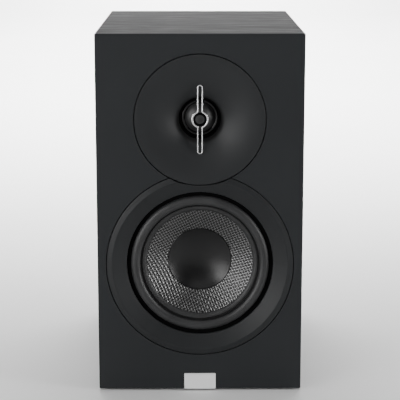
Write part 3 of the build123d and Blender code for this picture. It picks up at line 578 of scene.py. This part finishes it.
# Shaping helpers
def arc(centre, radius, start, end, count):
    """Points on an arc from one angle to another, in degrees."""
    turns = [math.radians(start + (end - start) * i / count) for i in range(count + 1)]
    across, down = centre
    return [(across + radius * math.cos(turn), down + radius * math.sin(turn)) for turn in turns]


def turned(outline, z, steps):
    """A closed outline of (radius, depth) points, turned about the Y axis at a height."""
    bm = bmesh.new()
    corners = [bm.verts.new((radius, deep(depth), z)) for radius, depth in outline]
    edges = [bm.edges.new(pair) for pair in zip(corners, corners[1:] + corners[:1])]
    bmesh.ops.spin(
        bm,
        geom=corners + edges,
        cent=(0, 0, z),
        axis=(0, 1, 0),
        angle=2 * math.pi,
        steps=steps,
        use_merge=True,
    )
    return bm


def piece(name, bm, finish):
    """An object of a shape, with its finish in a material slot."""
    bmesh.ops.remove_doubles(bm, verts=bm.verts, dist=weld_gap)
    bmesh.ops.recalc_face_normals(bm, faces=bm.faces)
    for face in bm.faces:
        face.smooth = True
    mesh = bpy.data.meshes.new(name)
    bm.to_mesh(mesh)
    bm.free()
    mesh.materials.append(finish)
    made = bpy.data.objects.new(name, mesh)
    bpy.context.scene.collection.objects.link(made)
    return made


def sharpen(made, angle):
    """Keeps the edges that turn by more than an angle crisp."""
    made.data.set_sharp_from_angle(angle=math.radians(angle))


# Edge rolls, in an outer and an inner half that meet along the crest
def half_rolls(crest_depth, outer, inner, rim, rim_depth, leg, foot_depth, thickness, tail):
    """Outlines of both halves. The tail is the line that the inner half ends in."""
    crest = (outer + inner) / 2
    reach = (outer - inner) / 2
    rise = rim_depth - leg - crest_depth
    radius = (reach**2 + rise**2) / (2 * rise)
    half_turn = math.degrees(math.asin(reach / radius))
    centre = (crest, crest_depth + radius)
    rising = arc(centre, radius, half_turn - 90, -90, roll_points)
    falling = arc(centre, radius, -90, -90 - half_turn, roll_points)
    under_rising = arc(centre, radius - thickness, half_turn - 90, -90, roll_points)
    under_falling = arc(centre, radius - thickness, -90, -90 - half_turn, roll_points)
    outer_front = [(rim, rim_depth), (outer, rim_depth)] + rising[:-1]
    outer_front += [(crest + crest_flat, crest_depth), (crest, crest_depth)]
    rim_back = rim_depth + thickness
    outer_back = under_rising[::-1] + [(outer - thickness, rim_back), (rim, rim_back)]
    inner_front = [(crest, crest_depth), (crest - crest_flat, crest_depth)] + falling[1:]
    inner_front += [(inner, foot_depth)] + tail
    tail_back = [(r, d + thickness) for r, d in reversed(tail)]
    inner_back = tail_back + [(inner + thickness, foot_depth + thickness)] + under_falling[::-1]
    return outer_front + outer_back, inner_front + inner_back


def rolled_edge(name, halves, finish, steps, z, rim_depth, crest_depth, node):
    """Turns both halves into pieces of their own and hides the node that they replace."""
    base = (0, deep(rim_depth), z)
    beyond = (0, deep(2 * crest_depth - rim_depth), z)
    for side, outline in zip(("outer", "inner"), halves):
        half = piece(f"{name}_{side}_half", turned(outline, z, steps), finish)
        sharpen(half, tight_crease)
        start, end = (base, beyond) if side == "outer" else (beyond, base)
        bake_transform(half)
        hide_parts(node)


def cone_depth(radius):
    return cone_edge_depth + (cone_edge - radius) * cone_slope


def woofer_surround():
    halves = half_rolls(
        crest_depth=surround_crest_depth,
        outer=surround_outer,
        inner=surround_inner,
        rim=surround_rim,
        rim_depth=surround_rim_depth,
        leg=surround_leg,
        foot_depth=surround_foot_depth,
        thickness=rubber_thickness,
        tail=[],
    )
    rolled_edge(
        name="surround",
        halves=halves,
        finish=finishes["surround_rubber"],
        steps=woofer_turn,
        z=woofer_z,
        rim_depth=surround_rim_depth,
        crest_depth=surround_crest_depth,
        node="woofer_surround",
    )


def surround_flap():
    """Flap of the surround on the cone, parted from the roll by a line of black glue that also
    paints the groove's shade.
    """
    seat = [(radius, cone_depth(radius)) for radius in (flap_inner, flap_outer)]
    front = [(radius, depth - flap_thickness) for radius, depth in seat]
    slope = flap_round * cone_slope
    outline = [
        seat[0],
        (flap_inner, front[0][1] + flap_round),
        (flap_inner + flap_round, front[0][1] - slope),
        (flap_outer - flap_round, front[1][1] + slope),
        (flap_outer, front[1][1] + flap_round),
        seat[1],
    ]
    band = turned(outline, woofer_z, woofer_turn)
    flap = piece("surround_flap", band, flap_finish)
    sharpen(flap, loose_crease)
    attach(flap, "woofer_moving")
    # Line of black glue in the groove, dark enough to paint the groove's shade as well
    glue_seat = [seat[1], (cone_edge, cone_edge_depth), (surround_inner, cone_edge_depth)]
    glue_back = [(radius, depth - glue_lift) for radius, depth in glue_seat]
    glue_front = [(radius, depth - glue_thickness) for radius, depth in reversed(glue_back)]
    glue_bead = turned(glue_back + glue_front, woofer_z, woofer_turn)
    glue = piece("surround_glue_and_groove_shade", glue_bead, glue_and_shade_finish)
    sharpen(glue, loose_crease)
    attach(glue, "woofer_moving")


def tweeter_surround():
    tail = [(tweeter_roll_inner - tweeter_tail, tweeter_rim_depth)]
    halves = half_rolls(
        crest_depth=tweeter_crest_depth,
        outer=tweeter_roll_outer,
        inner=tweeter_roll_inner,
        rim=tweeter_rim,
        rim_depth=tweeter_rim_depth,
        leg=0.0,
        foot_depth=tweeter_rim_depth,
        thickness=tweeter_rubber,
        tail=tail,
    )
    rolled_edge(
        name="dome_edge",
        halves=halves,
        finish=dome_edge_shade_finish,
        steps=tweeter_turn,
        z=tweeter_z,
        rim_depth=tweeter_rim_depth,
        crest_depth=tweeter_crest_depth,
        node="tweeter_surround",
    )


# Spider, a stepped disc between the basket and the coil former
def spider():
    tread = (spider_shelf_edge - spider_collar) / spider_steps
    front = [(spider_rim, spider_rim_depth)]
    for i in range(spider_steps):
        radius = spider_shelf_edge - i * tread
        depth = spider_rim_depth - i * spider_rise
        front += [(radius, depth), (radius - tread / 2, depth - spider_rise)]
    front.append((spider_bore, spider_rim_depth - spider_steps * spider_rise))
    back = [(radius, depth + spider_cloth) for radius, depth in reversed(front)]
    cloth = turned(front + back, woofer_z, spider_turn)
    disc = piece("spider_disc", cloth, finishes["spider_cloth"])
    sharpen(disc, loose_crease)
    rim = (0, deep(front[0][1] + spider_cloth), woofer_z)
    bore = (0, deep(front[-1][1]), woofer_z)
    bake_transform(disc)
    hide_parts("woofer_spider")


# Hollow dust cap with a rolled lip
def dust_cap():
    radius = (dust_cap_edge**2 + dust_cap_sag**2) / (2 * dust_cap_sag)
    middle = dust_cap_rim_depth + dust_cap_sag
    half_turn = math.degrees(math.asin(dust_cap_edge / radius))
    front = arc((0, middle - radius), radius, 90, 90 - half_turn, dish_points)
    back = arc((0, middle - radius), radius + dust_cap_thickness, 90 - half_turn, 90, dish_points)
    lip = [(r - dust_cap_lip, d + dust_cap_lip / 2) for r, d in front[-1:]]
    dish = turned(front[:-1] + lip + back, woofer_z, dish_turn)
    cap = piece("dust_cap_dish", dish, finishes["dust_cap_black"])
    sharpen(cap, loose_crease)
    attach(cap, "woofer_moving")
    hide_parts("woofer_dust_cap")


# Foam ring between the rim of the surround and the trim ring, near-black to paint the shade in the
# gap
def gap_shade_ring():
    front = surround_rim_depth - foam_thickness
    back = surround_rim_depth - foam_gap
    inner = surround_outer + foam_inset
    outer = surround_rim - foam_gap
    edge = foam_thickness / 3
    outline = [
        (inner, back),
        (inner, front + edge),
        (inner + edge, front),
        (outer, front),
        (outer, back),
    ]
    foam = turned(outline, woofer_z, woofer_turn)
    ring = piece("surround_gap_shade_ring", foam, shade_foam_finish)
    sharpen(ring, middle_crease)
    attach(ring, "cabinet")


# Woven face of the cone
def cone_cloth():
    """A flat weave drawn in towards the middle and laid on the cone, which gathers its threads."""
    outer = flap_inner + weave_tuck + weave_gather
    inner = dust_cap_edge - weave_tuck + weave_gather
    cells = 2 * math.ceil(outer / weave_pitch)
    grid = cells * weave_steps
    bm = bmesh.new()
    bmesh.ops.create_grid(bm, x_segments=grid, y_segments=grid, size=cells * weave_pitch / 2)
    spare = [face for face in bm.faces if not inner < face.calc_center_median().length < outer]
    bmesh.ops.delete(bm, geom=spare, context="FACES")
    turn = Matrix.Rotation(weave_angle, 2)
    thread_layer = bm.verts.layers.float.new("thread")

    def crowd(place):
        """Gathers the grid lines over the thread that lies nearest."""
        off = place - round(place)
        return round(place) + math.copysign(thread_steps[round(abs(off) * weave_steps)], off)

    def ridge(place):
        off = (place - round(place)) / thread_half_width
        return max(0.0, 1.0 - off * off) ** 0.5

    for vert in bm.verts:
        along = crowd(vert.co.x / weave_pitch)
        up = crowd(vert.co.y / weave_pitch)
        over = 0.5 + 0.5 * math.cos(math.pi * (along + round(up)))
        under = 0.5 - 0.5 * math.cos(math.pi * (up + round(along)))
        weft = ridge(up) * (thread_dip + (1.0 - thread_dip) * over)
        warp = ridge(along) * (thread_dip + (1.0 - thread_dip) * under)
        height = max(weft, warp)
        # The height is kept as the thread attribute, which also paints the thread darker where it
        # lies low: painted shade.
        vert[thread_layer] = height
        flat = turn @ Vector((along, up)) * weave_pitch
        spot = flat.normalized() * (flat.length - weave_gather)
        depth = cone_depth(spot.length) - weave_lift - weave_relief * height
        vert.co = (spot.x, deep(depth), woofer_z + spot.y)
    cloth = piece("cone_weave", bm, weave_finish)
    backing = cloth.modifiers.new("backing", "SOLIDIFY")
    backing.thickness = weave_lift
    backing.offset = -1.0
    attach(cloth, "woofer_moving")


# Near-black sleeve that lines the throat of the waveguide, down to the rim of the dome's edge:
# painted shade in the throat
def throat_shade_sleeve():
    outer = throat_radius - shade_sleeve_gap
    inner = outer - shade_sleeve_wall
    floor_inner = tweeter_roll_outer + shade_sleeve_gap
    back = tweeter_rim_depth - shade_sleeve_gap
    outline = [
        (outer, back),
        (outer, throat_depth + shade_sleeve_inset),
        (inner, throat_depth + shade_sleeve_inset + shade_sleeve_wall / 2),
        (inner, back - shade_sleeve_wall),
        (floor_inner, back - shade_sleeve_wall),
        (floor_inner, back),
    ]
    sleeve = turned(outline, tweeter_z, tweeter_turn)
    shade_sleeve = piece("throat_shade_sleeve", sleeve, shade_foam_finish)
    sharpen(shade_sleeve, middle_crease)
    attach(shade_sleeve, "cabinet")


# Silver loop in front of the dome
def loop_path():
    """Half of the loop's centre line from the top end down, with the half width at each point."""
    end_z = (loop_high.z - loop_low.z) / 2 - loop_bar_half - loop_bar_offset
    reach = loop_ring_radius + loop_fillet
    fillet_z = math.sqrt(reach**2 - (loop_bar_offset + loop_fillet) ** 2)
    lean = math.degrees(math.atan2(fillet_z, loop_bar_offset + loop_fillet))
    top = arc((0, end_z), loop_bar_offset, 90, 0, end_points)
    bend = arc((loop_bar_offset + loop_fillet, fillet_z), loop_fillet, 180, 180 + lean, bend_points)
    ring = arc((0, 0), loop_ring_radius, lean, 0, ring_points)[1:]
    swell = (loop_ring_half - loop_bar_half) / bend_points
    path = [(x, z, loop_bar_half) for x, z in top]
    path += [(x, z, loop_bar_half + swell * i) for i, (x, z) in enumerate(bend)]
    path += [(x, z, loop_ring_half) for x, z in ring]
    return path


def silver_loop():
    right = loop_path()
    lower = [(x, -z, half) for x, z, half in reversed(right[:-1])]
    right += lower
    left = [(-x, z, half) for x, z, half in reversed(right[1:-1])]
    path = right + left
    front = loop_low.y
    bm = bmesh.new()
    rings = ([], [])
    for i, (x, z, half) in enumerate(path):
        before = Vector(path[i - 1][:2])
        after = Vector(path[(i + 1) % len(path)][:2])
        run = (after - before).normalized()
        out = Vector((-run.y, run.x)) * half
        for ring, sign in zip(rings, (1, -1)):
            ring.append(bm.verts.new((x + sign * out.x, front, tweeter_z + z + sign * out.y)))
    edges = []
    for ring in rings:
        edges += [bm.edges.new(pair) for pair in zip(ring, ring[1:] + ring[:1])]
    bmesh.ops.bridge_loops(bm, edges=edges)
    pulled = bmesh.ops.extrude_face_region(bm, geom=bm.faces[:], use_keep_orig=True)
    moved = [item for item in pulled["geom"] if isinstance(item, bmesh.types.BMVert)]
    bmesh.ops.translate(bm, verts=moved, vec=(0, loop_depth, 0))
    bmesh.ops.recalc_face_normals(bm, faces=bm.faces)
    rims = [edge for edge in bm.edges if edge.calc_face_angle(0.0) > math.radians(rim_turn)]
    bmesh.ops.bevel(
        bm,
        geom=rims,
        offset=loop_edge,
        affect="EDGES",
        segments=loop_edge_steps,
        profile=0.5,
        material=-1,
        clamp_overlap=True,
    )
    for side in (-1, 1):
        peg_z = tweeter_z + side * ((loop_high.z - loop_low.z) / 2 - loop_bar_half)
        start = front + loop_depth
        length = loop_high.y - start
        place = Matrix.Translation((0, start + length / 2, peg_z))
        bmesh.ops.create_cone(
            bm,
            cap_ends=True,
            segments=peg_sides,
            radius1=loop_peg_radius,
            radius2=loop_peg_radius,
            depth=length,
            matrix=place @ Matrix.Rotation(math.pi / 2, 4, "X"),
        )
    loop = piece("silver_loop", bm, finishes["loop_silver"])
    sharpen(loop, firm_crease)
    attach(loop, "cabinet")
    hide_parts("tweeter_phase_loop")


# Black funnel inside the loop's ring: painted shade round the inside of the ring, open over the
# dome's middle
def loop_shade_funnel():
    outer = loop_ring_radius - loop_ring_half - funnel_gap
    front = loop_low.y - baffle_face + funnel_sink
    back = loop_low.y - baffle_face + loop_depth
    lip = (front + back) / 2
    outline = [(outer, front), (funnel_hole, lip), (funnel_hole, back), (outer, back)]
    ring = turned(outline, tweeter_z, funnel_turn)
    funnel = piece("loop_shade_funnel", ring, shade_foam_finish)
    sharpen(funnel, tight_crease)
    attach(funnel, "cabinet")


# Plus and minus marks beside the binding posts
def polarity_marks():
    middle_z = (plate_low.z + plate_high.z) / 2
    bm = bmesh.new()
    for side, bars in ((-1, 2), (1, 1)):
        for bar in range(bars):
            size = (mark_length, 2 * mark_height, mark_width)
            turn = Matrix.Rotation(bar * math.pi / 2, 4, "Y")
            place = Matrix.Translation((side * mark_spread, plate_high.y, middle_z + mark_offset))
            stretch = Matrix.Diagonal((*size, 1.0))
            made = bmesh.ops.create_cube(bm, size=1.0, matrix=place @ turn @ stretch)
            edges = list({edge for vert in made["verts"] for edge in vert.link_edges})
            bmesh.ops.bevel(
                bm,
                geom=edges,
                offset=mark_edge,
                affect="EDGES",
                segments=mark_edge_steps,
                profile=0.5,
                material=-1,
            )
    marks = piece("polarity_marks", bm, finishes["standoff_white"])
    sharpen(marks, firm_crease)
    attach(marks, "cabinet")


woofer_surround()
surround_flap()
gap_shade_ring()
tweeter_surround()
throat_shade_sleeve()
spider()
dust_cap()
cone_cloth()
silver_loop()
loop_shade_funnel()
polarity_marks()


# Floor, lights and camera
def floor():
    bm = bmesh.new()
    bmesh.ops.create_grid(
        bm,
        x_segments=floor_cells,
        y_segments=floor_cells,
        size=1.0,
        matrix=Matrix.Diagonal((*floor_reach, 1.0, 1.0)),
    )
    mesh = bpy.data.meshes.new("studio_floor")
    bm.to_mesh(mesh)
    bm.free()
    mesh.materials.append(studio_floor("studio_floor"))
    made = bpy.data.objects.new("studio_floor", mesh)
    bpy.context.scene.collection.objects.link(made)


def soft_light(name, place, aim, size, power, spread):
    """A softbox of a width and a height that faces its aim, with its beam narrowed to a spread."""
    lamp = bpy.data.lights.new(name, "AREA")
    lamp.shape = "RECTANGLE"
    lamp.size, lamp.size_y = size
    lamp.energy = power
    lamp.spread = math.radians(spread)
    made = bpy.data.objects.new(name, lamp)
    made.location = place
    made.rotation_euler = (Vector(aim) - Vector(place)).to_track_quat("-Z", "Y").to_euler()
    bpy.context.scene.collection.objects.link(made)


def room_glow():
    """Pale walls, dim in front of the speaker, and a pale ceiling above a dark band."""
    world = bpy.data.worlds.new("studio_room")
    world.use_nodes = True
    glow = world.node_tree.nodes["Background"]
    toward = Wire(world.node_tree).node("TexCoord", {}, {}, out="Generated")
    height = toward.node("SeparateXYZ", {}, {"Vector": toward}, out="Z")
    behind = toward.node("SeparateXYZ", {}, {"Vector": toward}, out="Y")
    walls = 1.0 - height.step(*wall_fade)
    walls = walls * behind.step(*front_fade).between(front_glow, back_glow)
    strength = walls + height.step(*ceiling_fade) * ceiling_glow
    glow.inputs["Color"].default_value = (1.0, 1.0, 1.0, 1.0)
    world.node_tree.links.new(strength.socket, glow.inputs["Strength"])
    bpy.context.scene.world = world


def photo_camera():
    lens = bpy.data.cameras.new("photo_camera")
    lens.sensor_width = camera_sensor
    lens.lens = camera_lens
    made = bpy.data.objects.new("photo_camera", lens)
    made.location = camera_place
    made.rotation_euler = (math.radians(90.0 - camera_pitch), 0, math.radians(-camera_turn))
    bpy.context.scene.collection.objects.link(made)
    bpy.context.scene.camera = made


def around(turn, rise, distance):
    """A place at a distance from the front's middle, turned to its right and raised, in degrees."""
    turn, rise = math.radians(turn), math.radians(rise)
    flat = distance * math.cos(rise)
    away = Vector((flat * math.sin(turn), -flat * math.cos(turn), distance * math.sin(rise)))
    return front_middle + away


front_middle = Vector((0, baffle_face, (cad_box[0][2] + cad_box[1][2]) / 2))
floor()
room_glow()
for name, place, width, power, spread in floor_lamps:
    soft_light(name, place, (*place[:2], 0), (width, width), power, spread)
for name, turn, rise, distance, size, power in front_lamps:
    soft_light(name, around(turn, rise, distance), front_middle, size, power, front_spread)
photo_camera()
